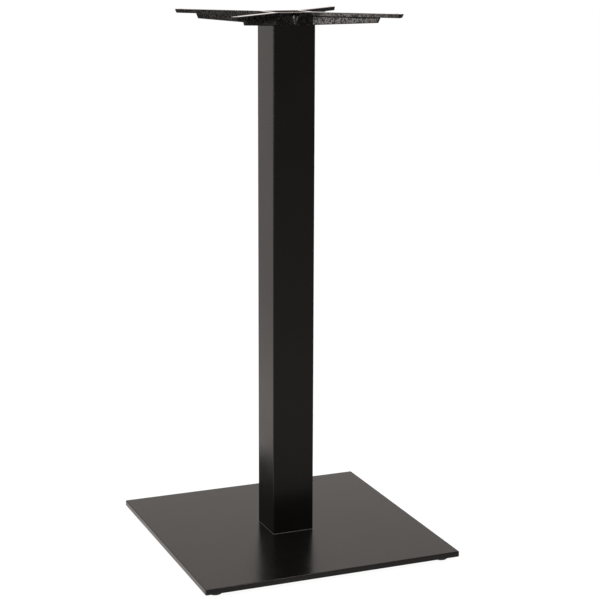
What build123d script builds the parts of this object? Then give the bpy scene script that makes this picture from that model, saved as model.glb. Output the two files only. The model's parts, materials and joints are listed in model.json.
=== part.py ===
from build123d import *
import math
import os

# Poseur table base: a square flat steel plate on four adjustable feet, one square column
# and a cast iron cross that carries the table top.
# Millimetres, +Z up. The origin is on the floor, on the column's axis. The plate and the
# column have their sides along X and Y, and the four arms of the cross lie on the diagonals.

# Heights above the floor
PLATE_BOTTOM = 9.0
PLATE_THICKNESS = 12.0
GASKET_THICKNESS = 1.0
COLUMN_TOP = 1078.0
OVERALL_HEIGHT = 1105.0

# Base plate
PLATE_SIDE = 550.0
PLATE_CORNER_RADIUS = 3.0
PLATE_EDGE_RADIUS = 2.0

# Column
COLUMN_SIDE = 90.0
COLUMN_WALL = 3.0
COLUMN_CORNER_RADIUS = 3.5
END_PLATE_CORNER_CUT = 2.0
FOOT_PLATE_THICKNESS = 10.0
HEAD_PLATE_THICKNESS = 8.0
COATING_DRAIN_RADIUS = 10.0

# Cross: hub, its pocket and the scoop in the middle of each side
HUB_CORNER_RADIUS = 3.5
HUB_FLOOR = 10.0
POCKET_SIDE = 70.0
POCKET_CORNER_RADIUS = 6.0
POCKET_FLOOR_RADIUS = 2.0
RIM_EDGE_RADIUS = 1.5
SCOOP_WIDTH = 25.0
SCOOP_DEPTH = 7.0
SCOOP_TOP_DROP = 3.5
SCOOP_TIP_RISE = 3.0
SCOOP_TIP_RADIUS = 0.8
SCOOP_EDGE_RADIUS = 0.8

# Cross: T-section arms
ARM_REACH = 247.0
FLANGE_WIDTH = 16.0
FLANGE_THICKNESS = 8.0
FLANGE_TOP_RADIUS = 1.5
FLANGE_UNDER_CHAMFER = 0.8
FLANGE_TIP_RADIUS = 3.5
FLANGE_TIP_SLANT = 4.0
FLANGE_ROOT_RADIUS = 9.0
RIB_THICKNESS = 8.0
RIB_EDGE_RADIUS = 1.5
RIB_ROOT_RADIUS = 2.0
SELECT_TOLERANCE = 0.01
RIB_END_FROM_TIP = 47.5
RIB_TOE_FROM_TIP = 52.0
RIB_END_DEPTH = 18.5
RIB_ROOT_DEPTH = 25.5
FIXING_HOLE_RADIUS = 3.5
FIXING_HOLE_FROM_TIP = 13.0

# Screws: M8 cap screws in the hub, M10 countersunk screws under the base plate
HUB_SCREW_SPACING = 40.0
HUB_SCREW_RADIUS = 4.0
HUB_SCREW_LENGTH = 20.0
HUB_HOLE_RADIUS = 4.5
CAP_RADIUS = 6.5
CAP_HEIGHT = 8.0
CAP_SOCKET_DEPTH = 4.0
CAP_EDGE_CHAMFER = 0.6
WASHER_RADIUS = 8.0
WASHER_HOLE_RADIUS = 4.2
WASHER_THICKNESS = 1.6
BASE_SCREW_SPACING = 44.0
BASE_SCREW_RADIUS = 5.0
BASE_SCREW_LENGTH = 25.0
BASE_HOLE_RADIUS = 5.5
COUNTERSUNK_HEAD_RADIUS = 10.0
HEAD_BELOW_FLUSH = 0.3
COUNTERSINK_CLEARANCE = 0.2
HEX_SOCKET_FLATS = 6.0
HEX_SOCKET_DEPTH = 3.6
THREAD_CLEARANCE = 0.05

# Adjustable feet: a nylon pad that a steel stud turns in, screwed into the base plate
FOOT_INSET = 29.0
PAD_RADIUS = 13.5
PAD_SHOULDER_RADIUS = 11.0
PAD_HEIGHT = 5.4
PAD_RIM_HEIGHT = 3.4
PAD_FLOOR = 1.6
PAD_EDGE_CHAMFER = 0.6
PAD_LIP = 1.4
STUD_RADIUS = 4.0
STUD_DISC_RADIUS = 6.0
STUD_DISC_THICKNESS = 2.0
STUD_TIP_CHAMFER = 0.8
RUNNING_CLEARANCE = 0.06
FACE_CLEARANCE = 0.3
SEAT_CLEARANCE = 0.05
STUD_HEX_FLATS = 13.0
STUD_TOP_IN_PLATE = 10.0
STUD_HOLE_DEPTH = 10.5

PLATE_TOP = PLATE_BOTTOM + PLATE_THICKNESS
COLUMN_BOTTOM = PLATE_TOP + GASKET_THICKNESS
CROSS_DEPTH = OVERALL_HEIGHT - COLUMN_TOP
FLANGE_UNDERSIDE = OVERALL_HEIGHT - FLANGE_THICKNESS
TUBE_BORE = COLUMN_SIDE - 2 * COLUMN_WALL


def square_points(spacing):
    """The four corners of a square on the axis, going round from front left."""
    half = spacing / 2
    return [(-half, -half), (half, -half), (half, half), (-half, half)]


def rod(radius, bottom, top):
    """An upright cylinder on the axis between two heights."""
    return extrude(Pos(0, 0, bottom) * Circle(radius), amount=top - bottom)


def hexagon_rod(across_flats, bottom, top):
    """An upright hexagonal bar on the axis between two heights."""
    outline = RegularPolygon(radius=across_flats / 2, side_count=6, major_radius=False)
    return extrude(Pos(0, 0, bottom) * outline, amount=top - bottom)


def cone(low_radius, high_radius, bottom, height):
    """An upright cone frustum on the axis."""
    return Pos(0, 0, bottom + height / 2) * Cone(low_radius, high_radius, height)


def drill(solid, cutter, places):
    """Cut the same cutter from a solid at each of the places."""
    for x, y in places:
        solid -= Pos(x, y, 0) * cutter
    return solid


def base_plate():
    """Flat plate with countersunk holes for the column and blind tapped holes for the feet."""
    outline = RectangleRounded(PLATE_SIDE, PLATE_SIDE, PLATE_CORNER_RADIUS)
    plate = extrude(Pos(0, 0, PLATE_BOTTOM) * outline, amount=PLATE_THICKNESS)
    faces = plate.faces().sort_by(Axis.Z)
    rims = faces[0].edges() + faces[-1].edges()
    plate = fillet(rims, PLATE_EDGE_RADIUS)
    sink_radius = COUNTERSUNK_HEAD_RADIUS + COUNTERSINK_CLEARANCE
    sink = cone(sink_radius, 0, PLATE_BOTTOM, sink_radius)
    screw_hole = rod(BASE_HOLE_RADIUS, PLATE_BOTTOM, PLATE_TOP) + sink
    plate = drill(plate, screw_hole, square_points(BASE_SCREW_SPACING))
    foot_hole = rod(STUD_RADIUS + THREAD_CLEARANCE, PLATE_BOTTOM, PLATE_BOTTOM + STUD_HOLE_DEPTH)
    return drill(plate, foot_hole, square_points(PLATE_SIDE - 2 * FOOT_INSET))


def column_gasket():
    """Thin sheet between the column and the plate, which shows as a light line."""
    outline = RectangleRounded(COLUMN_SIDE, COLUMN_SIDE, COLUMN_CORNER_RADIUS)
    sheet = extrude(Pos(0, 0, PLATE_TOP) * outline, amount=GASKET_THICKNESS)
    hole = rod(BASE_HOLE_RADIUS, PLATE_TOP, COLUMN_BOTTOM)
    return drill(sheet, hole, square_points(BASE_SCREW_SPACING))


def column_tube():
    """Square hollow section with rounded corners."""
    outside = RectangleRounded(COLUMN_SIDE, COLUMN_SIDE, COLUMN_CORNER_RADIUS)
    inside = RectangleRounded(TUBE_BORE, TUBE_BORE, COLUMN_CORNER_RADIUS - COLUMN_WALL)
    return extrude(Pos(0, 0, COLUMN_BOTTOM) * (outside - inside), amount=COLUMN_TOP - COLUMN_BOTTOM)


def end_plate(bottom, thickness, thread_radius, spacing):
    """Tapped plate welded inside one end of the tube, its corners cut clear of the tube's."""
    blank = Box(TUBE_BORE, TUBE_BORE, thickness)
    blank = chamfer(blank.edges().filter_by(Axis.Z), END_PLATE_CORNER_CUT)
    plate = Pos(0, 0, bottom + thickness / 2) * blank
    plate -= rod(COATING_DRAIN_RADIUS, bottom, bottom + thickness)
    tapped = rod(thread_radius + THREAD_CLEARANCE, bottom, bottom + thickness)
    return drill(plate, tapped, square_points(spacing))


def tip_undercut():
    """The wedge beyond the slanted end of one arm, along +X: the draft of the casting."""
    over = FLANGE_WIDTH
    side = Polyline((ARM_REACH, OVERALL_HEIGHT), (ARM_REACH + over, OVERALL_HEIGHT),
                    (ARM_REACH + over, FLANGE_UNDERSIDE), (ARM_REACH - FLANGE_TIP_SLANT, FLANGE_UNDERSIDE),
                    close=True)
    return extrude(Plane.XZ * make_face(side), amount=over, both=True)


def cross_flange():
    """Top plate of the cross: the hub's square and four arms in one rounded outline."""
    outline = RectangleRounded(COLUMN_SIDE, COLUMN_SIDE, HUB_CORNER_RADIUS)
    for angle in (45, 135):
        outline += Rot(0, 0, angle) * Rectangle(2 * ARM_REACH, FLANGE_WIDTH)
    roots = [v for v in outline.vertices() if math.hypot(v.X, v.Y) < COLUMN_SIDE]
    outline = fillet(roots, FLANGE_ROOT_RADIUS)
    plate = extrude(Pos(0, 0, FLANGE_UNDERSIDE) * outline, amount=FLANGE_THICKNESS)
    wedge = tip_undercut()
    for quarter in range(4):
        plate -= Rot(0, 0, 45 + 90 * quarter) * wedge
    tips = [e for e in plate.edges() if math.hypot(e.center().X, e.center().Y) > ARM_REACH - FLANGE_WIDTH / 2
            and abs(e.center().Z - OVERALL_HEIGHT + FLANGE_THICKNESS / 2) < SELECT_TOLERANCE]
    plate = fillet(tips, FLANGE_TIP_RADIUS)
    faces = plate.faces().sort_by(Axis.Z)
    plate = fillet(faces[-1].edges(), FLANGE_TOP_RADIUS)
    under = plate.faces().sort_by(Axis.Z)[0]
    return chamfer(under.edges(), FLANGE_UNDER_CHAMFER)


def cross_rib():
    """Rib under one arm, along +X: deepest at the hub, cut off at a slant near the tip."""
    end = ARM_REACH - RIB_END_FROM_TIP
    toe = ARM_REACH - RIB_TOE_FROM_TIP
    toe_height = OVERALL_HEIGHT - RIB_END_DEPTH
    root_height = OVERALL_HEIGHT - RIB_ROOT_DEPTH
    hub_reach = COLUMN_SIDE / math.sqrt(2)
    top = FLANGE_UNDERSIDE + FLANGE_UNDER_CHAMFER
    side = Polyline((0, top), (end, top), (end, FLANGE_UNDERSIDE), (toe, toe_height),
                    (hub_reach, root_height), (0, root_height), close=True)
    rib = extrude(Plane.XZ * make_face(side), amount=RIB_THICKNESS / 2, both=True)
    lower = [e for e in rib.edges() if e.center().Z < FLANGE_UNDERSIDE - 1 and e.center().X > hub_reach
             and abs(e.center().Y) > RIB_THICKNESS / 4]
    return fillet(lower, RIB_EDGE_RADIUS)


def rib_roots(cross):
    """The inner corners along both sides of each rib, under the flange."""
    corners = []
    for edge in cross.edges():
        middle = edge.center()
        off_diagonal = abs(abs(middle.X) - abs(middle.Y)) / math.sqrt(2)
        beside_rib = abs(off_diagonal - RIB_THICKNESS / 2) < SELECT_TOLERANCE
        under_flange = abs(middle.Z - FLANGE_UNDERSIDE) < SELECT_TOLERANCE
        if beside_rib and under_flange:
            corners.append(edge)
    return corners


def side_scoop():
    """Half-round scoop in the hub's front side, pointed at its lower end."""
    half = SCOOP_WIDTH / 2
    radius = (half ** 2 + SCOOP_DEPTH ** 2) / (2 * SCOOP_DEPTH)
    outward = COLUMN_SIDE / 2 + radius - SCOOP_DEPTH
    high = Pos(0, -outward, OVERALL_HEIGHT - SCOOP_TOP_DROP) * Circle(radius)
    low = Pos(0, -COLUMN_SIDE / 2, COLUMN_TOP + SCOOP_TIP_RISE) * Circle(SCOOP_TIP_RADIUS)
    return loft([low, high])


def scoop_lips(cross):
    """The edges that run up both sides of each scoop, on the hub's upright sides."""
    lips = []
    for edge in cross.edges():
        middle = edge.center()
        on_side = abs(max(abs(middle.X), abs(middle.Y)) - COLUMN_SIDE / 2) < SELECT_TOLERANCE
        at_scoop = 1 < min(abs(middle.X), abs(middle.Y)) < SCOOP_WIDTH / 2
        upright = edge.bounding_box().size.Z > CROSS_DEPTH / 2
        if on_side and at_scoop and upright:
            lips.append(edge)
    return lips


def top_cross():
    """The casting: hub with its screw pocket, four T-section arms, scoops and holes."""
    cross = cross_flange()
    hub_outline = RectangleRounded(COLUMN_SIDE, COLUMN_SIDE, HUB_CORNER_RADIUS)
    hub_height = CROSS_DEPTH - FLANGE_TOP_RADIUS
    cross += extrude(Pos(0, 0, COLUMN_TOP) * hub_outline, amount=hub_height)
    rib = cross_rib()
    for quarter in range(4):
        cross += Rot(0, 0, 45 + 90 * quarter) * rib
    cross = fillet(rib_roots(cross), RIB_ROOT_RADIUS)
    pocket_outline = RectangleRounded(POCKET_SIDE, POCKET_SIDE, POCKET_CORNER_RADIUS)
    pocket_floor = COLUMN_TOP + HUB_FLOOR
    pocket = extrude(Pos(0, 0, pocket_floor) * pocket_outline, amount=CROSS_DEPTH)
    pocket = fillet(pocket.faces().sort_by(Axis.Z)[0].edges(), POCKET_FLOOR_RADIUS)
    cross -= pocket
    rim = [e for e in cross.faces().sort_by(Axis.Z)[-1].edges()
           if math.hypot(e.center().X, e.center().Y) < POCKET_SIDE / 2 + POCKET_CORNER_RADIUS]
    cross = fillet(rim, RIM_EDGE_RADIUS)
    scoop = side_scoop()
    for quarter in range(4):
        cross -= Rot(0, 0, 90 * quarter) * scoop
    cross = fillet(scoop_lips(cross), SCOOP_EDGE_RADIUS)
    cross = drill(cross, rod(HUB_HOLE_RADIUS, COLUMN_TOP, OVERALL_HEIGHT), square_points(HUB_SCREW_SPACING))
    fixing_hole = rod(FIXING_HOLE_RADIUS, COLUMN_TOP, OVERALL_HEIGHT)
    fixing_spacing = (ARM_REACH - FIXING_HOLE_FROM_TIP) * math.sqrt(2)
    return drill(cross, fixing_hole, square_points(fixing_spacing))


def hub_washer():
    """Plain washer on the floor of the hub's pocket."""
    seat = COLUMN_TOP + HUB_FLOOR
    washer = rod(WASHER_RADIUS, seat, seat + WASHER_THICKNESS)
    return washer - rod(WASHER_HOLE_RADIUS, seat, seat + WASHER_THICKNESS)


def hub_screw():
    """Socket cap screw that holds the cross on the column's head plate."""
    seat = COLUMN_TOP + HUB_FLOOR + WASHER_THICKNESS
    head = rod(CAP_RADIUS, seat, seat + CAP_HEIGHT)
    head = chamfer(head.edges().sort_by(Axis.Z)[-1], CAP_EDGE_CHAMFER)
    head -= hexagon_rod(HEX_SOCKET_FLATS, seat + CAP_HEIGHT - CAP_SOCKET_DEPTH, seat + CAP_HEIGHT)
    return head + rod(HUB_SCREW_RADIUS, seat - HUB_SCREW_LENGTH, seat)


def base_screw():
    """Countersunk screw from under the base plate into the column's foot plate."""
    seat = PLATE_BOTTOM + HEAD_BELOW_FLUSH
    cone_height = COUNTERSUNK_HEAD_RADIUS - HEAD_BELOW_FLUSH
    head = cone(cone_height, 0, seat, cone_height)
    screw = head + rod(BASE_SCREW_RADIUS, seat, seat + BASE_SCREW_LENGTH)
    return screw - hexagon_rod(HEX_SOCKET_FLATS, seat, seat + HEX_SOCKET_DEPTH)


def foot_pad():
    """Nylon pad: a low shouldered disc with a closed seat for the stud's disc."""
    seat_radius = STUD_DISC_RADIUS + FACE_CLEARANCE
    profile = Polyline((0, 0), (PAD_RADIUS, 0), (PAD_RADIUS, PAD_RIM_HEIGHT),
                       (PAD_SHOULDER_RADIUS, PAD_HEIGHT), (0, PAD_HEIGHT), close=True)
    pad = revolve(Plane.XZ * make_face(profile), Axis.Z)
    pad = chamfer(pad.edges().group_by(Axis.Z)[0], PAD_EDGE_CHAMFER)
    pad -= rod(seat_radius, PAD_FLOOR, PAD_HEIGHT - PAD_LIP)
    return pad - rod(STUD_RADIUS + RUNNING_CLEARANCE, PAD_FLOOR, PAD_HEIGHT)


def foot_stud():
    """Threaded stud with a disc that is held in the pad and a hexagon for a spanner."""
    disc_bottom = PAD_FLOOR + SEAT_CLEARANCE
    stud = rod(STUD_DISC_RADIUS, disc_bottom, disc_bottom + STUD_DISC_THICKNESS)
    hexagon = hexagon_rod(STUD_HEX_FLATS, PAD_HEIGHT + FACE_CLEARANCE, PLATE_BOTTOM - FACE_CLEARANCE)
    shank = rod(STUD_RADIUS, disc_bottom, PLATE_BOTTOM + STUD_TOP_IN_PLATE)
    shank = chamfer(shank.edges().sort_by(Axis.Z)[-1], STUD_TIP_CHAMFER)
    return stud + shank + hexagon


def build_parts():
    """Every piece in place, by its name."""
    parts = {
        "base_plate": base_plate(),
        "column_gasket": column_gasket(),
        "column_tube": column_tube(),
        "column_foot_plate": end_plate(COLUMN_BOTTOM, FOOT_PLATE_THICKNESS, BASE_SCREW_RADIUS, BASE_SCREW_SPACING),
        "column_head_plate": end_plate(COLUMN_TOP - HEAD_PLATE_THICKNESS, HEAD_PLATE_THICKNESS,
                                       HUB_SCREW_RADIUS, HUB_SCREW_SPACING),
        "top_cross": top_cross(),
    }
    repeated = [
        ("hub_screw", hub_screw(), HUB_SCREW_SPACING),
        ("hub_washer", hub_washer(), HUB_SCREW_SPACING),
        ("base_screw", base_screw(), BASE_SCREW_SPACING),
        ("foot_pad", foot_pad(), PLATE_SIDE - 2 * FOOT_INSET),
        ("foot_stud", foot_stud(), PLATE_SIDE - 2 * FOOT_INSET),
    ]
    for name, piece, spacing in repeated:
        for number, (x, y) in enumerate(square_points(spacing), start=1):
            parts[f"{name}_{number}"] = Pos(x, y, 0) * piece
    return parts


os.makedirs("parts", exist_ok=True)
for part_name, solid in build_parts().items():
    export_step(solid, f"parts/{part_name}.step")
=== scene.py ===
# %% [markdown]
# # Poseur table base, dressed for its portrait
# The object is a tall table base without its top. A square steel plate lies on four small
# adjustable feet, a square steel column stands on the plate, and a cast iron cross on the
# column carries the table top. All of it is black, so almost everything that the eye reads is
# reflection: the lesson is mostly about finishes and about a studio that gives them something
# to reflect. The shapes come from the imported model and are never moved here.

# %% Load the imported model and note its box
import json
import math

import bmesh
import bpy
from mathutils import Matrix, Vector


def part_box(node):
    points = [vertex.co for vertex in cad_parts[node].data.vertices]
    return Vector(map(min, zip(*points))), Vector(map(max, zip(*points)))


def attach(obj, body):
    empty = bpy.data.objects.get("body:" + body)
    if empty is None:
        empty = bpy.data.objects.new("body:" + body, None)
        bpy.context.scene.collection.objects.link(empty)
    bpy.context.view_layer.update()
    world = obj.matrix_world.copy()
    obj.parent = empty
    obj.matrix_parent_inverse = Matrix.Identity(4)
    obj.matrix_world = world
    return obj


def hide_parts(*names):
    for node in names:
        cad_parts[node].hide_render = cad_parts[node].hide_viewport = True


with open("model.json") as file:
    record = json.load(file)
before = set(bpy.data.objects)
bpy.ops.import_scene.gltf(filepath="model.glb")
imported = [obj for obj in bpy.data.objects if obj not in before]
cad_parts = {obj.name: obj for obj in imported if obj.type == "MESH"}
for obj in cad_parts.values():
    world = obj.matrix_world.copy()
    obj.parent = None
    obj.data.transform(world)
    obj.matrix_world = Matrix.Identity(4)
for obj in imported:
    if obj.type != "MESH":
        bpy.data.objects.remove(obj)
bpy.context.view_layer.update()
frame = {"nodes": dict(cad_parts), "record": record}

# %% [markdown]
# ## The camera
# The photograph was taken from about chest height, a little over three metres away and to the
# left of the column's front face. A long lens keeps the column's sides nearly parallel. The
# place and the tilt were solved from the edges of the plate, the sides of the column and the
# tips of the cross, so they are written here as measured values. Yaw turns the camera about the
# upright axis, pitch tips it down, and a trace of roll lets the column lean as it does in the
# picture. The focal length is given in pixels of a picture 600 pixels wide.

# %% Camera
CAMERA_PLACE = (-1.2233, -3.0746, 1.2616)
CAMERA_YAW = math.radians(-22.204)
CAMERA_PITCH = math.radians(12.726)
CAMERA_ROLL = math.radians(0.195)
FOCAL_PIXELS = 1634.6
PICTURE_PIXELS = 600.0
SENSOR_MM = 36.0


def make_camera():
    """A long lens at the photograph's place, with no shift and no depth of field."""
    data = bpy.data.cameras.new("portrait_lens")
    data.sensor_width = SENSOR_MM
    data.lens = FOCAL_PIXELS / PICTURE_PIXELS * SENSOR_MM
    camera = bpy.data.objects.new("portrait_camera", data)
    bpy.context.scene.collection.objects.link(camera)
    turn = Matrix.Rotation(CAMERA_YAW, 4, "Z")
    tip = Matrix.Rotation(math.radians(90) - CAMERA_PITCH, 4, "X")
    lean = Matrix.Rotation(CAMERA_ROLL, 4, "Z")
    camera.matrix_world = Matrix.Translation(CAMERA_PLACE) @ turn @ tip @ lean
    bpy.context.scene.camera = camera
    return camera


camera = make_camera()
bpy.context.scene.view_settings.view_transform = "Standard"
print("lens", round(camera.data.lens, 1), "mm")

# %% [markdown]
# ## Building materials from nodes
# Every finish below is a small network of nodes. These helpers keep the cells short. The first
# adds any node and sets its inputs, each from a plain value or from another node's output. The
# others do the same for the kinds of node that come back often, and hand over their output.

# %% Helpers for nodes


def add_node(tree, kind, inputs=None, **settings):
    """A node of the given kind, with its settings and its input values or links."""
    node = tree.nodes.new(kind)
    for name, value in settings.items():
        setattr(node, name, value)
    for name, value in (inputs or {}).items():
        if isinstance(value, bpy.types.NodeSocket):
            tree.links.new(value, node.inputs[name])
        else:
            node.inputs[name].default_value = value
    return node


def math_node(tree, operation, first, second=0.0):
    """A Math node's output; each operand is a number or a socket."""
    operands = {0: first, 1: second}
    return add_node(tree, "ShaderNodeMath", operands, operation=operation).outputs[0]


def vector_node(tree, operation, first, second=(0.0, 0.0, 0.0)):
    """A Vector Math node's output: a number for a length or a dot product, else a vector."""
    operands = {0: first, 1: second}
    node = add_node(tree, "ShaderNodeVectorMath", operands, operation=operation)
    return node.outputs["Value" if operation in ("LENGTH", "DOT_PRODUCT") else "Vector"]


def ramp_node(tree, value, low, high, low_out=0.0, high_out=1.0, shape="SMOOTHSTEP"):
    """A step of value from low to high, smooth at both ends unless another shape is named."""
    inputs = {"Value": value, "From Min": low, "From Max": high,
              "To Min": low_out, "To Max": high_out}
    return add_node(tree, "ShaderNodeMapRange", inputs, interpolation_type=shape).outputs["Result"]


def noise_node(tree, place, scale, detail, roughness):
    """A noise texture's value, between zero and one."""
    inputs = {"Vector": place, "Scale": scale, "Detail": detail, "Roughness": roughness}
    return add_node(tree, "ShaderNodeTexNoise", inputs).outputs["Fac"]


def mix_node(tree, kind, factor, first, second):
    """A Mix node's output, FLOAT or RGBA: first at factor 0, second at factor 1."""
    inputs = {"Factor": factor, "A": first, "B": second}
    return add_node(tree, "ShaderNodeMix", inputs, data_type=kind).outputs["Result"]


print("node helpers ready")

# %% [markdown]
# ## Materials and shared effects
# An effect that several finishes share is a node group with named inputs. A group only ever
# puts out masks and heights, and the shader that uses them stays in the material. Every finish
# ends in the same way: a colour, a roughness and a height go into one Principled shader, the
# height through a Bump node. The height's depth is a length in metres.

# %% Helpers for groups and materials


def start_group(name, inputs, outputs):
    """An empty node group with numbers as inputs and outputs; gives its tree and end nodes."""
    tree = bpy.data.node_groups.new(name, "ShaderNodeTree")
    for label, default in inputs.items():
        socket = tree.interface.new_socket(label, in_out="INPUT", socket_type="NodeSocketFloat")
        socket.default_value = default
    for label in outputs:
        tree.interface.new_socket(label, in_out="OUTPUT", socket_type="NodeSocketFloat")
    return tree, tree.nodes.new("NodeGroupInput"), tree.nodes.new("NodeGroupOutput")


def use_group(tree, group, **inputs):
    """The group placed in a material, with its own values. Underscores stand for spaces."""
    node = tree.nodes.new("ShaderNodeGroup")
    node.node_tree = group
    for name, value in inputs.items():
        node.inputs[name.replace("_", " ")].default_value = value
    return node


def start_material(name, **shader):
    """A material with one Principled shader, whose plain values are set on its own sockets."""
    material = bpy.data.materials.new(name)
    material.use_nodes = True
    tree = material.node_tree
    principled = tree.nodes["Principled BSDF"]
    for label, value in shader.items():
        principled.inputs[label.replace("_", " ")].default_value = value
    return material, tree, principled


def spread_colour(tree, cloud, colour, spread):
    """A colour that drifts with a cloud, by a share of itself to either side."""
    darker = (*(c * (1 - spread) for c in colour), 1.0)
    paler = (*(c * (1 + spread) for c in colour), 1.0)
    return mix_node(tree, "RGBA", cloud, darker, paler)


def finish_shader(tree, principled, colour, roughness, height, depth):
    """Link a colour, a roughness and a height in metres to the shader."""
    bump = add_node(tree, "ShaderNodeBump", {"Height": height, "Strength": 1.0, "Distance": depth})
    tree.links.new(colour, principled.inputs["Base Color"])
    tree.links.new(roughness, principled.inputs["Roughness"])
    tree.links.new(bump.outputs["Normal"], principled.inputs["Normal"])


print("material helpers ready")

# %% [markdown]
# ## Shared effect: orange peel and grain
# Powder coat is sprayed on dry and melts in an oven. It flows into a skin with soft waves two
# or three millimetres across, called orange peel, and a finer grain on top. Both are heights,
# so the group adds two noises of different size. It also puts out a slow cloud that is used to
# vary the roughness, because a sprayed coat is never equally smooth all over. Object
# coordinates are in metres here, so a scale of 400 gives waves about 2.5 mm across.

# %% Orange peel group


def make_orange_peel():
    """Heights of a sprayed coat: soft waves with a fine grain, and a slow cloud."""
    labels = {"Wave Scale": 400.0, "Grain Scale": 1800.0, "Grain Share": 0.3, "Cloud Scale": 9.0}
    tree, start, end = start_group("orange_peel", labels, ["Height", "Cloud"])
    place = add_node(tree, "ShaderNodeTexCoord").outputs["Object"]
    waves = noise_node(tree, place, start.outputs["Wave Scale"], detail=1.5, roughness=0.4)
    grain = noise_node(tree, place, start.outputs["Grain Scale"], detail=2.0, roughness=0.6)
    cloud = noise_node(tree, place, start.outputs["Cloud Scale"], detail=3.0, roughness=0.55)
    fine = math_node(tree, "MULTIPLY", grain, start.outputs["Grain Share"])
    tree.links.new(math_node(tree, "ADD", waves, fine), end.inputs["Height"])
    tree.links.new(cloud, end.inputs["Cloud"])
    return tree


orange_peel = make_orange_peel()
print("group", orange_peel.name)

# %% [markdown]
# ## Finish: powder coat on the plate and the column
# The plate and the column carry the same black coat, the plate's with a little more grain. The
# pigment is so dark that what shows is the sheen of the clear resin, which grows bright at low
# angles. One function makes both, with the amount of grain and the two ends of the roughness
# as arguments. The cloud's middle range, where most of its values lie, is stretched over them.

# %% Powder coat
CLOUD_LOW = 0.3
CLOUD_HIGH = 0.7
PIGMENT_SPREAD = 0.15


def make_powder_coat(name, colour, smoothest, roughest, wave_scale, wave_depth, grain_share):
    """Black sprayed coat with orange peel and a roughness that drifts between two values."""
    material, tree, principled = start_material(name, Specular_IOR_Level=0.5)
    peel = use_group(tree, orange_peel, Wave_Scale=wave_scale, Grain_Share=grain_share)
    cloud = peel.outputs["Cloud"]
    tint = spread_colour(tree, cloud, colour, PIGMENT_SPREAD)
    roughness = ramp_node(tree, cloud, CLOUD_LOW, CLOUD_HIGH, smoothest, roughest)
    finish_shader(tree, principled, tint, roughness, peel.outputs["Height"], wave_depth)
    return material


plate_coat = make_powder_coat(
    "plate_powder_coat", (0.0048, 0.0044, 0.0041), smoothest=0.20, roughest=0.26,
    wave_scale=420.0, wave_depth=0.00005, grain_share=0.5)
column_coat = make_powder_coat(
    "column_powder_coat", (0.0045, 0.0041, 0.0039), smoothest=0.22, roughest=0.28,
    wave_scale=360.0, wave_depth=0.00004, grain_share=0.3)
print("coats:", plate_coat.name, column_coat.name)

# %% [markdown]
# ## Shared effect: the skin of a casting
# The cross is poured in sand, so its sides keep the sand's skin under the gloss paint, while its
# top is ground flat to carry the table top. On the sides the paint lies thick and shiny in some
# places and thin and matt in others, a few millimetres apart. Where a lamp is mirrored, those
# matt specks break it up into bright and dark grains. Bump alone would average out at this size,
# so the specks are a noise that is turned into a mask. Small heights come from a Voronoi pattern
# for the grains and a noise for the lumps. The mask fades out where the surface looks up or
# down, read from the normal in the object's own space.

# %% Casting skin group
SIDE_TILT = 0.5
TOP_TILT = 0.9
SPECK_FROM = 0.46
SPECK_TO = 0.56


def make_cast_skin():
    """Heights of a sand-cast surface under paint, and a mask of its matt specks."""
    labels = {"Grain Scale": 520.0, "Lump Scale": 260.0, "Lump Share": 2.0, "Speck Scale": 300.0}
    tree, start, end = start_group("cast_skin", labels, ["Height", "Specks"])
    coordinates = add_node(tree, "ShaderNodeTexCoord")
    place = coordinates.outputs["Object"]
    grains = add_node(tree, "ShaderNodeTexVoronoi",
                      {"Vector": place, "Scale": start.outputs["Grain Scale"]},
                      feature="SMOOTH_F1").outputs["Distance"]
    lumps = noise_node(tree, place, start.outputs["Lump Scale"], detail=3.0, roughness=0.6)
    specks = noise_node(tree, place, start.outputs["Speck Scale"], detail=1.0, roughness=0.5)
    rounded = math_node(tree, "SUBTRACT", 1.0, grains)
    coarse = math_node(tree, "MULTIPLY", lumps, start.outputs["Lump Share"])
    outward = add_node(tree, "ShaderNodeSeparateXYZ", {"Vector": coordinates.outputs["Normal"]})
    tilt = math_node(tree, "ABSOLUTE", outward.outputs["Z"])
    sides = ramp_node(tree, tilt, SIDE_TILT, TOP_TILT, 1.0, 0.0)
    matt = math_node(tree, "MULTIPLY", ramp_node(tree, specks, SPECK_FROM, SPECK_TO), sides)
    tree.links.new(math_node(tree, "ADD", rounded, coarse), end.inputs["Height"])
    tree.links.new(matt, end.inputs["Specks"])
    return tree


cast_skin = make_cast_skin()
print("group", cast_skin.name)

# %% [markdown]
# ## Finish: painted casting
# The paint is a glossy black enamel that lies unevenly over the skin. The mask of the specks
# sets both the colour, which is a little paler where the paint is thin, and the roughness,
# which jumps from glossy to matt. That jump is what makes the arms sparkle under a lamp.

# %% Painted casting
THICK_PAINT = (0.0030, 0.0028, 0.0026, 1.0)
THIN_PAINT = (0.0040, 0.0038, 0.0036, 1.0)
THICK_ROUGHNESS = 0.10
THIN_ROUGHNESS = 0.42
SKIN_DEPTH = 0.00004


def make_cast_paint():
    """Glossy black paint over the casting's grain."""
    material, tree, principled = start_material("cast_black_paint", Specular_IOR_Level=0.55)
    skin = use_group(tree, cast_skin, Grain_Scale=520.0, Lump_Scale=260.0, Lump_Share=2.0,
                     Speck_Scale=300.0)
    specks = skin.outputs["Specks"]
    tint = mix_node(tree, "RGBA", specks, THICK_PAINT, THIN_PAINT)
    roughness = ramp_node(tree, specks, 0.0, 1.0, THICK_ROUGHNESS, THIN_ROUGHNESS)
    finish_shader(tree, principled, tint, roughness, skin.outputs["Height"], SKIN_DEPTH)
    return material


cast_paint = make_cast_paint()
print("casting:", cast_paint.name)

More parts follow.
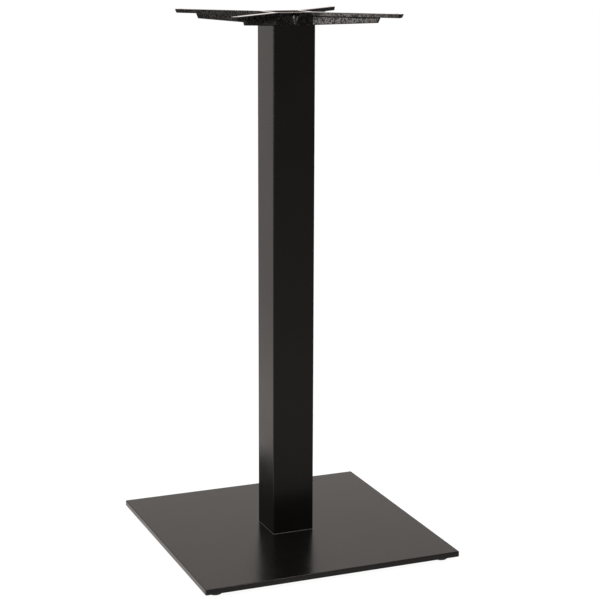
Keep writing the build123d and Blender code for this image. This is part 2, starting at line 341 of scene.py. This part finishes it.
# %% [markdown]
# ## Finish: steel fasteners, end plates, gasket and foot pads
# The screws, washers and studs are zinc plated: pale grey with a faint cloudy bloom. The two
# plates welded inside the column are bare steel, mottled from rolling. The gasket is a soft grey
# sheet and the foot pads are black nylon with a fine moulded grain. All of them are small, so
# each gets one pattern that varies its colour and gloss. The grain's scale sets the pattern's
# size, and the cloud in it is eight times as coarse.

# %% Small finishes
SMALL_GRAIN_SHARE = 0.5
CLOUD_COARSENESS = 8
GLOSS_SPREAD = 0.15


def make_small_finish(name, colour, metallic, gloss, grain_scale, grain_depth, spread):
    """A finish for a small piece: one grain that varies colour, roughness and height."""
    material, tree, principled = start_material(name, Metallic=metallic)
    peel = use_group(tree, orange_peel, Wave_Scale=grain_scale, Grain_Share=SMALL_GRAIN_SHARE,
                     Cloud_Scale=grain_scale / CLOUD_COARSENESS)
    cloud = peel.outputs["Cloud"]
    tint = spread_colour(tree, cloud, colour, spread)
    roughness = ramp_node(tree, cloud, CLOUD_LOW, CLOUD_HIGH,
                          gloss * (1 - GLOSS_SPREAD), gloss * (1 + GLOSS_SPREAD))
    finish_shader(tree, principled, tint, roughness, peel.outputs["Height"], grain_depth)
    return material


zinc_plate = make_small_finish("zinc_plating", (0.52, 0.53, 0.55), metallic=1.0, gloss=0.32,
                               grain_scale=900.0, grain_depth=0.00001, spread=0.12)
bare_steel = make_small_finish("bare_steel", (0.42, 0.42, 0.43), metallic=1.0, gloss=0.40,
                               grain_scale=300.0, grain_depth=0.00003, spread=0.15)
gasket_sheet = make_small_finish("gasket_sheet", (0.18, 0.175, 0.165), metallic=0.0, gloss=0.60,
                                 grain_scale=800.0, grain_depth=0.00002, spread=0.10)
foot_nylon = make_small_finish("foot_nylon", (0.012, 0.012, 0.012), metallic=0.0, gloss=0.45,
                               grain_scale=1200.0, grain_depth=0.00003, spread=0.15)
print("small finishes made")

# %% [markdown]
# ## Giving each piece its finish
# The record names a material slot for each node, and one table maps the slots to the finishes.

# %% Dress the nodes
FINISHES = {
    "plate_coat": plate_coat,
    "column_coat": column_coat,
    "cast_paint": cast_paint,
    "gasket": gasket_sheet,
    "bare_steel": bare_steel,
    "zinc_steel": zinc_plate,
    "foot_plastic": foot_nylon,
}


def dress_nodes():
    """Every node wears the finish of its slot."""
    for entry in frame["record"]["subparts"]:
        piece = frame["nodes"][entry["node"]]
        piece.data.materials.clear()
        piece.data.materials.append(FINISHES[entry["material_slot"]])


dress_nodes()
print("dressed", len(frame["nodes"]), "pieces")

# %% [markdown]
# ## Foot studs: the thread
# Each foot is screwed up or down to level the base, and then the thread of its stud shows under
# the plate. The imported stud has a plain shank, so a piece with a real thread stands for it.
# A thread can be made with a Screw modifier, but its ends then have to be closed by hand. Here
# the radius of the shank depends on the height and on the angle, which makes the ridge climb by
# one pitch a turn. The ridge has a flat top and a flat bottom, and it fades out near both ends,
# as a cut thread does. All lengths are in millimetres.

# %% Thread
SHANK_RADIUS = 4.0
ROOT_RADIUS = 3.35
THREAD_PITCH = 1.25
THREAD_FADE = 0.8
RIDGE_SLOPE = 2.4
RIDGE_FLAT = 0.7


def thread_radius(height, angle, low, high):
    """Radius of a thread at a height and an angle, fading into the shank at both ends."""
    turn = (height / THREAD_PITCH - angle / math.tau) % 1.0
    ridge = min(1.0, max(0.0, RIDGE_SLOPE * abs(2 * turn - 1) - RIDGE_FLAT))
    fade = min(1.0, (height - low) / THREAD_FADE, (high - height) / THREAD_FADE)
    return SHANK_RADIUS - max(0.0, fade) * (SHANK_RADIUS - ROOT_RADIUS) * (1 - ridge)


print("thread", SHANK_RADIUS * 2, "mm wide,", THREAD_PITCH, "mm a turn")

# %% [markdown]
# ## Foot studs: the profile
# One grid of rings goes from the disc in the pad to the tip. Each ring has a height and a rule
# that gives its radius at an angle. The rule is a constant on the disc and the shank, the
# distance to a side on the hexagon that a spanner grips, and the thread above it. A ring that
# is repeated at one height with another radius makes a level step.

# %% Stud profile
DISC_RADIUS = 6.0
DISC_TOP = 3.65
DISC_EDGE = 0.2
HEXAGON_FLATS = 13.0
HEXAGON_BOTTOM = 5.7
HEXAGON_TOP = 8.7
HEXAGON_BEVEL = 0.35
THREAD_GAP = 0.1
TIP_RADIUS = 3.2
TIP_LENGTH = 0.8
RINGS_PER_TURN = 8


def hexagon_radius(angle, flats):
    """Distance from the axis to a hexagon's side, with corners along X."""
    sixth = math.pi / 3
    return flats / 2 / math.cos(angle % sixth - sixth / 2)


def stud_rings(bottom, top):
    """Height and radius rule of each ring, from the disc's underside to the tip."""
    start = HEXAGON_TOP + THREAD_GAP
    end = top - TIP_LENGTH
    steps = round((end - start) / THREAD_PITCH * RINGS_PER_TURN)
    round_part = [(bottom, DISC_RADIUS - DISC_EDGE), (bottom + DISC_EDGE, DISC_RADIUS),
                  (DISC_TOP - DISC_EDGE, DISC_RADIUS), (DISC_TOP, DISC_RADIUS - DISC_EDGE),
                  (DISC_TOP, SHANK_RADIUS), (HEXAGON_BOTTOM, SHANK_RADIUS)]
    bevelled = HEXAGON_FLATS - 2 * HEXAGON_BEVEL
    hexagon = [(HEXAGON_BOTTOM, bevelled), (HEXAGON_BOTTOM + HEXAGON_BEVEL, HEXAGON_FLATS),
               (HEXAGON_TOP - HEXAGON_BEVEL, HEXAGON_FLATS), (HEXAGON_TOP, bevelled)]
    rings = [(height, lambda angle, r=radius: r) for height, radius in round_part]
    for height, flats in hexagon:
        rings.append((height, lambda angle, f=flats: hexagon_radius(angle, f)))
    rings.append((HEXAGON_TOP, lambda angle: SHANK_RADIUS))
    for step in range(steps + 1):
        height = start + (end - start) * step / steps
        rings.append((height, lambda angle, z=height: thread_radius(z, angle, start, end)))
    rings.append((top, lambda angle: TIP_RADIUS))
    return rings


print("hexagon", HEXAGON_FLATS, "mm across its flats")

# %% [markdown]
# ## Foot studs: the mesh
# The rings are joined by four-sided faces, and the first and the last ring are closed by one
# face each, so the piece is watertight. It takes its place and its length from the packed
# stud's box, rides on the same body and wears the same zinc plating.

# %% Threaded studs
MM = 0.001
STUD_SEGMENTS = 48


def ring_mesh(name, middle, rings):
    """A closed mesh through rings of a given height and radius rule, round an upright axis."""
    shape = bmesh.new()
    loops = []
    for height, radius in rings:
        loop = []
        for corner in range(STUD_SEGMENTS):
            angle = math.tau * corner / STUD_SEGMENTS
            reach = radius(angle) * MM
            loop.append(shape.verts.new((middle[0] + reach * math.cos(angle),
                                         middle[1] + reach * math.sin(angle), height * MM)))
        loops.append(loop)
    for lower, upper in zip(loops, loops[1:]):
        for corner in range(STUD_SEGMENTS):
            after = (corner + 1) % STUD_SEGMENTS
            shape.faces.new((lower[corner], lower[after], upper[after], upper[corner]))
    shape.faces.new(reversed(loops[0]))
    shape.faces.new(loops[-1])
    mesh = bpy.data.meshes.new(name)
    shape.to_mesh(mesh)
    shape.free()
    return mesh


def make_stud(number):
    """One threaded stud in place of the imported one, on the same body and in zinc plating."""
    node = f"foot_stud_{number}"
    low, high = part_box(node)
    middle = ((low[0] + high[0]) / 2, (low[1] + high[1]) / 2)
    rings = stud_rings(low[2] / MM, high[2] / MM)
    mesh = ring_mesh(f"threaded_stud_{number}", middle, rings)
    mesh.materials.append(zinc_plate)
    stud = bpy.data.objects.new(f"threaded_stud_{number}", mesh)
    bpy.context.scene.collection.objects.link(stud)
    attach(stud, f"foot_stud_body_{number}")
    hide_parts(node)
    return stud


studs = [make_stud(number) for number in (1, 2, 3, 4)]
print("studs with", len(studs[0].data.polygons), "faces each")

# %% [markdown]
# ## The studio
# Black paint shows the room that it stands in. The photograph's room was bright behind and to
# the left and nearly dark on the right and behind the camera. Light that has met one glossy
# black face is polarised, and a second face at right angles returns little of it, so what is
# seen after two reflections is dimmed. The same helpers serve the world, where they are given a
# direction, and the floor, where they are given a place: both point away from the object.

# %% Helpers for the room
BRIGHT_SIDE = Vector((-0.574, 0.819, 0.0))
TURN_FROM = 0.18
TURN_TO = 0.52
TWO_BOUNCES = 1.5
SECOND_BOUNCE = 0.35


def facing(tree, direction, target, low, high):
    """Zero to one as the level part of a direction turns towards a target."""
    flat = vector_node(tree, "MULTIPLY", direction, (1.0, 1.0, 0.0))
    heading = vector_node(tree, "NORMALIZE", flat)
    return ramp_node(tree, vector_node(tree, "DOT_PRODUCT", heading, target), low, high)


def bright_side(tree, direction):
    """One where a direction points to the back and left, zero where it points front and right."""
    return facing(tree, direction, BRIGHT_SIDE, TURN_FROM, TURN_TO)


def mirror_rays(tree):
    """Light Path facts: camera ray, mirrored ray, and the dimming after two reflections."""
    ray = add_node(tree, "ShaderNodeLightPath")
    mirrored = math_node(tree, "MAXIMUM", ray.outputs["Is Glossy Ray"],
                         ray.outputs["Is Transmission Ray"])
    twice = math_node(tree, "GREATER_THAN", ray.outputs["Glossy Depth"], TWO_BOUNCES)
    dimming = mix_node(tree, "FLOAT", twice, 1.0, SECOND_BOUNCE)
    return ray.outputs["Is Camera Ray"], mirrored, dimming


print("room helpers ready")

# %% [markdown]
# ## The room's walls
# The walls turn from bright to dark round the object and grow lighter towards the ceiling on
# both sides, so that the top faces have a sheen from wherever they are seen. On the dark side
# a paler band hangs above the horizon. Behind the object, low down, stands the lit backdrop,
# whose mirror image is the sheen on the plate. Heights are the upward part of a direction: zero
# at the horizon and one straight up.

# %% Brightness of the walls
HORIZON_BRIGHT = 0.57
SKY_BRIGHT = 0.62
BRIGHT_CLIMB = (0.05, 0.30)
HORIZON_DARK = 0.07
BAND_DARK = 0.32
BAND_CLIMB = (0.12, 0.32)
SKY_DARK = 0.28
SKY_CLIMB = (0.45, 0.75)
BACKDROP_SIDE = Vector((0.380, 0.925, 0.0))
BACKDROP_TURN = (0.75, 0.97)
BACKDROP_TOP = (0.08, 0.26)
BACKDROP_BRIGHT = 1.3


def mirrored_walls(tree, direction):
    """How bright the room looks in a reflection, by the direction that is mirrored."""
    height = add_node(tree, "ShaderNodeSeparateXYZ", {"Vector": direction}).outputs["Z"]
    bright = ramp_node(tree, height, *BRIGHT_CLIMB, HORIZON_BRIGHT, SKY_BRIGHT)
    band = ramp_node(tree, height, *BAND_CLIMB, HORIZON_DARK, BAND_DARK)
    dark = mix_node(tree, "FLOAT", ramp_node(tree, height, *SKY_CLIMB), band, SKY_DARK)
    walls = mix_node(tree, "FLOAT", bright_side(tree, direction), dark, bright)
    behind = facing(tree, direction, BACKDROP_SIDE, *BACKDROP_TURN)
    low_down = ramp_node(tree, height, *BACKDROP_TOP, 1.0, 0.0)
    backdrop = math_node(tree, "MULTIPLY", behind, low_down)
    return mix_node(tree, "FLOAT", backdrop, walls, BACKDROP_BRIGHT)


print("walls from", HORIZON_DARK, "to", BACKDROP_BRIGHT)

# %% [markdown]
# ## The world
# Three backgrounds share the world. The camera sees plain white, mirrored rays see the walls,
# and every other ray meets an even soft fill that lights the pigment. Two Mix Shader nodes
# choose between them by the kind of ray.

# %% World
PLAIN_WHITE = (1.0, 1.0, 1.0, 1.0)
WARM_WHITE = (1.0, 0.93, 0.89, 1.0)
FILL_LIGHT = 0.48


def choose_shader(tree, factor, first, second):
    """A Mix Shader's output: first at factor 0, second at factor 1."""
    inputs = {0: factor, 1: first, 2: second}
    return add_node(tree, "ShaderNodeMixShader", inputs).outputs[0]


def background(tree, colour, strength):
    """A Background node's output."""
    inputs = {"Color": colour, "Strength": strength}
    return add_node(tree, "ShaderNodeBackground", inputs).outputs[0]


def make_world():
    """White to the camera, a shaped room to reflections, and an even fill for the rest."""
    world = bpy.data.worlds.new("studio_room")
    world.use_nodes = True
    bpy.context.scene.world = world
    tree = world.node_tree
    tree.nodes.clear()
    direction = add_node(tree, "ShaderNodeTexCoord").outputs["Generated"]
    camera_ray, mirrored, dimming = mirror_rays(tree)
    strength = math_node(tree, "MULTIPLY", mirrored_walls(tree, direction), dimming)
    room = background(tree, WARM_WHITE, strength)
    fill = background(tree, PLAIN_WHITE, FILL_LIGHT)
    white = background(tree, PLAIN_WHITE, 1.0)
    unseen = choose_shader(tree, mirrored, fill, room)
    seen = choose_shader(tree, camera_ray, unseen, white)
    out = add_node(tree, "ShaderNodeOutputWorld")
    tree.links.new(seen, out.inputs["Surface"])
    return world


print("world", make_world().name)

# %% [markdown]
# ## The floor in the mirror
# The floor is white paper that runs on to the horizon, and upright black faces mirror it, so
# its mirrored brightness is shaped like the walls'. That brightness is a glow of painted light
# and shade which only mirrored rays see. On the dark side it rises over the first metre, a
# painted shade close to the object, and then falls off with distance, evenly on a logarithmic
# scale that ends at FAR_LOG, the natural logarithm of 19 metres. On the bright side it is
# brightest up to a step away. A narrow ring of painted light lights up the plate's edges from
# close by, more on the left, and a painted shadow darkens the floor just behind the plate. All
# lengths are in metres.

# %% Brightness of the mirrored floor
PLATE_REACH = 0.275
FAR_LOG = 2.94
FLOOR_DARK = 0.33
# Painted shade close to the object on the dark side, out to NEAR_REACH.
NEAR_REACH = (0.35, 0.85)
NEAR_PAINTED_SHADE = 0.70
STEP_REACH = (1.1, 2.2)
STEP_BRIGHT = 0.73
# A ring of painted light round the plate's edges, weaker on the right.
RING_REACH = (PLATE_REACH + 0.055, PLATE_REACH + 0.075)
RING_LEFT = (-PLATE_REACH - 0.01, -PLATE_REACH + 0.01)
RING_SHADED = 0.45
# A painted shadow in an oval on the floor just behind the plate.
LEE_PLACE = (-0.17, 0.41, 0.0)
LEE_SIZE = (0.13, 0.17, 1.0)
LEE_RIM = (0.88, 1.04)
LEE_DARK = 0.12


def open_floor(tree, place):
    """The floor's painted light and shade away from the plate, by side and distance."""
    reach = vector_node(tree, "LENGTH", place)
    steps = math_node(tree, "LOGARITHM", math_node(tree, "MAXIMUM", reach, 1.0), math.e)
    far = ramp_node(tree, steps, 0.0, FAR_LOG, FLOOR_DARK, HORIZON_DARK, shape="LINEAR")
    dimming = ramp_node(tree, reach, *NEAR_REACH, NEAR_PAINTED_SHADE, 1.0)
    dark = math_node(tree, "MULTIPLY", far, dimming)
    bright = ramp_node(tree, reach, *STEP_REACH, STEP_BRIGHT, HORIZON_BRIGHT)
    return mix_node(tree, "FLOAT", bright_side(tree, place), dark, bright)


def painted_lee_shadow(tree, place):
    """A painted shadow: dark inside an oval behind the plate, one outside it."""
    from_lee = vector_node(tree, "SUBTRACT", place, LEE_PLACE)
    reach = vector_node(tree, "LENGTH", vector_node(tree, "DIVIDE", from_lee, LEE_SIZE))
    return ramp_node(tree, reach, *LEE_RIM, LEE_DARK, 1.0)


def mirrored_floor(tree, place):
    """The floor's painted light and shade as upright faces mirror it, by the place on the floor.
    """
    axes = add_node(tree, "ShaderNodeSeparateXYZ", {"Vector": place})
    across = math_node(tree, "ABSOLUTE", axes.outputs["X"])
    along = math_node(tree, "ABSOLUTE", axes.outputs["Y"])
    ring = ramp_node(tree, math_node(tree, "MAXIMUM", across, along), *RING_REACH, 1.0, 0.0)
    at_edge = ramp_node(tree, axes.outputs["X"], *RING_LEFT, 1.0, RING_SHADED)
    floor_light = mix_node(tree, "FLOAT", ring, open_floor(tree, place), at_edge)
    return math_node(tree, "MULTIPLY", floor_light, painted_lee_shadow(tree, place))


print("lit ring fades out at", [round(edge, 3) for edge in RING_REACH], "m from the middle")

# %% [markdown]
# ## The floor
# The camera sees the paper as white with the object's soft shadow: most of the white is the
# paper's own glow, and the share of true diffuse light is what holds the shadow. Only the
# camera sees that glow, so it lights nothing.

# %% Floor
FLOOR_HALF = 60.0
PAPER_COLOUR = (0.80, 0.80, 0.80, 1.0)
PAPER_GLOW = 0.86
GLOW_STRENGTH = 1.12


def make_paper():
    """White paper: a glow with a shadow to the camera, painted light and shade to reflections."""
    material = bpy.data.materials.new("white_paper")
    material.use_nodes = True
    tree = material.node_tree
    tree.nodes.clear()
    place = add_node(tree, "ShaderNodeNewGeometry").outputs["Position"]
    camera_ray, mirrored, dimming = mirror_rays(tree)
    paper = add_node(tree, "ShaderNodeBsdfDiffuse", {"Color": PAPER_COLOUR}).outputs[0]
    glow = add_node(tree, "ShaderNodeEmission", {"Strength": GLOW_STRENGTH}).outputs[0]
    shown = choose_shader(tree, PAPER_GLOW, paper, glow)
    lit = choose_shader(tree, camera_ray, paper, shown)
    # Mirrored rays see the floor's painted light and shade as a glow.
    strength = math_node(tree, "MULTIPLY", mirrored_floor(tree, place), dimming)
    room = add_node(tree, "ShaderNodeEmission", {"Color": WARM_WHITE, "Strength": strength})
    out = add_node(tree, "ShaderNodeOutputMaterial")
    tree.links.new(choose_shader(tree, mirrored, lit, room.outputs[0]), out.inputs["Surface"])
    return material


def make_floor():
    """A wide sheet of white paper that keeps the shadow."""
    mesh = bpy.data.meshes.new("paper_floor")
    corners = [(-FLOOR_HALF, -FLOOR_HALF, 0), (FLOOR_HALF, -FLOOR_HALF, 0),
               (FLOOR_HALF, FLOOR_HALF, 0), (-FLOOR_HALF, FLOOR_HALF, 0)]
    mesh.from_pydata(corners, [], [(0, 1, 2, 3)])
    mesh.materials.append(make_paper())
    floor = bpy.data.objects.new("paper_floor", mesh)
    bpy.context.scene.collection.objects.link(floor)
    return floor


floor = make_floor()
print(floor.name, FLOOR_HALF * 2, "m wide")

# %% [markdown]
# ## The lamps
# A tall soft box stands on the left and reaches well above the cross. Its mirror image covers
# the right-hand arm almost to the tip, and it wakes up the specks there. A narrow strip on the
# right and a small lamp high in front draw the streaks in the hub's scoops. A wide box hangs
# overhead and gives the floor its faint shadow. All four are as warm as the room. An area lamp
# shines along its own -Z, so each is turned to face its target. Sizes are in metres and powers
# in watts.

# %% Lamps
LAMPS = {
    "left_softbox": {"place": (-1.74, -0.85, 1.55), "target": (0.1, -0.1, 1.1),
                     "width": 0.36, "height": 2.0, "power": 9.6},
    "right_strip": {"place": (1.70, -0.62, 1.60), "target": (0.0, 0.0, 1.1),
                    "width": 0.25, "height": 1.8, "power": 4.2},
    "front_spot": {"place": (0.58, -1.43, 2.02), "target": (0.0, -0.04, 1.09),
                   "width": 0.30, "height": 0.45, "power": 4.6},
    "overhead_softbox": {"place": (-0.6, 0.4, 3.2), "target": (0.0, 0.0, 0.0),
                         "width": 3.6, "height": 3.6, "power": 40.0},
}


def make_softbox(name, place, target, width, height, power):
    """A rectangular area lamp that faces a target."""
    data = bpy.data.lights.new(name, "AREA")
    data.shape = "RECTANGLE"
    data.size = width
    data.size_y = height
    data.energy = power
    data.color = WARM_WHITE[:3]
    lamp = bpy.data.objects.new(name, data)
    bpy.context.scene.collection.objects.link(lamp)
    aim = Vector(target) - Vector(place)
    lamp.location = place
    lamp.rotation_mode = "QUATERNION"
    lamp.rotation_quaternion = aim.to_track_quat("-Z", "Y")
    return lamp


lamps = [make_softbox(name, **lamp) for name, lamp in LAMPS.items()]
print("lamps:", [lamp.name for lamp in lamps])
